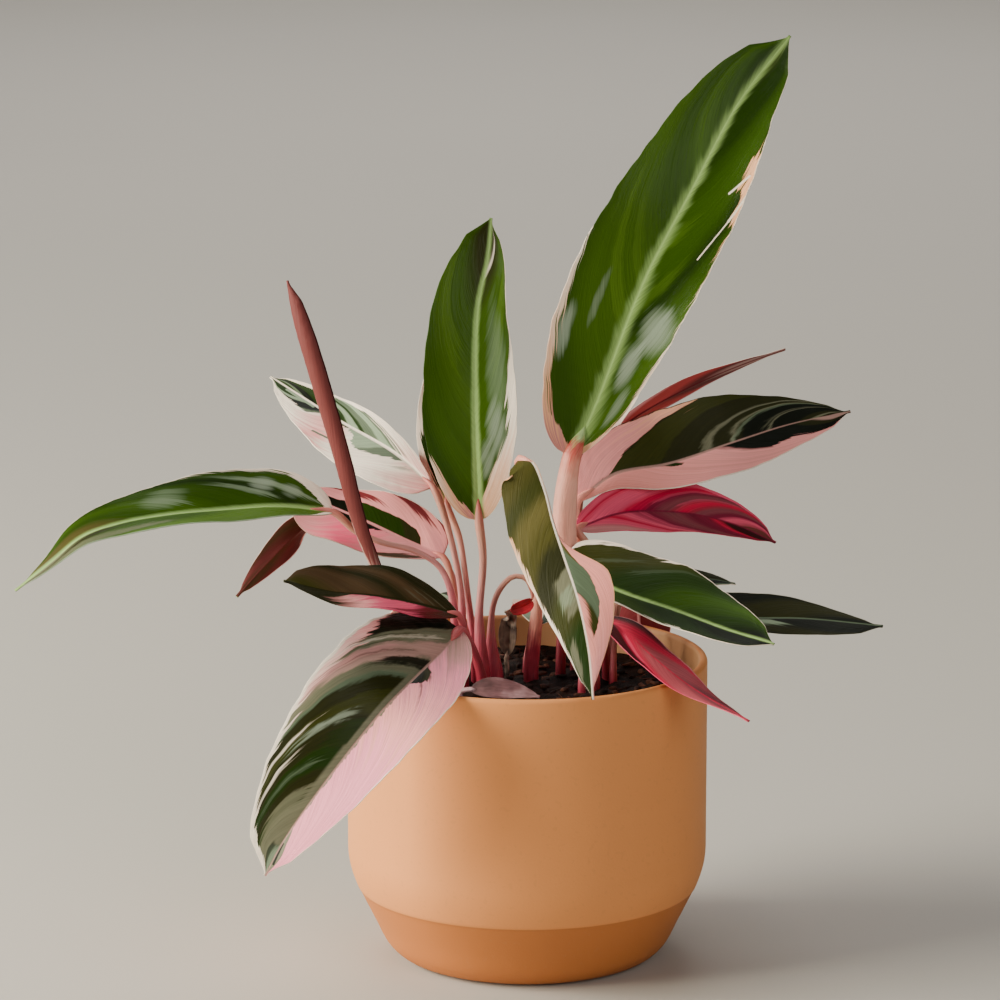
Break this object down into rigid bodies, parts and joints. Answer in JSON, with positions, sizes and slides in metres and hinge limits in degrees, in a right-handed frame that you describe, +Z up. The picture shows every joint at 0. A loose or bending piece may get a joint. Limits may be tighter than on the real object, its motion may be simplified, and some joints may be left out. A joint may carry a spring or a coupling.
{
  "type": "potted prayer plant",
  "caption": "Prayer plant with long pink, cream and green leaves on thin red stems, standing in a round ceramic pot with a tapered foot.",
  "frame": {"origin": "centre of the pot's foot, on the plane that the pot stands on", "axes": "+Z up along the pot's axis; the plant is seen at its best from -Y, with the tall leaf leaning to +X and the broad drooping leaf at the front towards -X"},
  "size_m": [0.4249, 0.266, 0.4576],
  "materials": {
    "leaf": "glossy",
    "dead_leaf": "dry",
    "pot": "matte",
    "soil": "crumbly"
  },
  "bodies": {
    "root": {"pot": "pot", "soil": "soil", "leaf_tall_right": "leaf", "leaf_upright_centre": "leaf", "leaf_pale_left": "leaf", "leaf_long_left": "leaf", "leaf_rolled_new": "leaf", "leaf_low_left": "leaf", "leaf_mid_left": "leaf", "leaf_maroon_left": "leaf", "leaf_front_left": "leaf", "leaf_front_centre": "leaf", "leaf_wide_right": "leaf", "leaf_crimson_right": "leaf", "leaf_low_right": "leaf", "leaf_far_right": "leaf", "leaf_small_right": "leaf", "leaf_rim_right": "leaf", "leaf_thin_right": "leaf", "leaf_back_upright": "leaf", "leaf_back_tall": "leaf", "leaf_back_low_left": "leaf", "leaf_back_low_centre": "leaf", "leaf_back_low_right": "leaf", "leaf_withered": "dead_leaf", "leaf_dead_upright": "dead_leaf", "leaf_dead_fallen": "dead_leaf"}
  },
  "joints": []
}
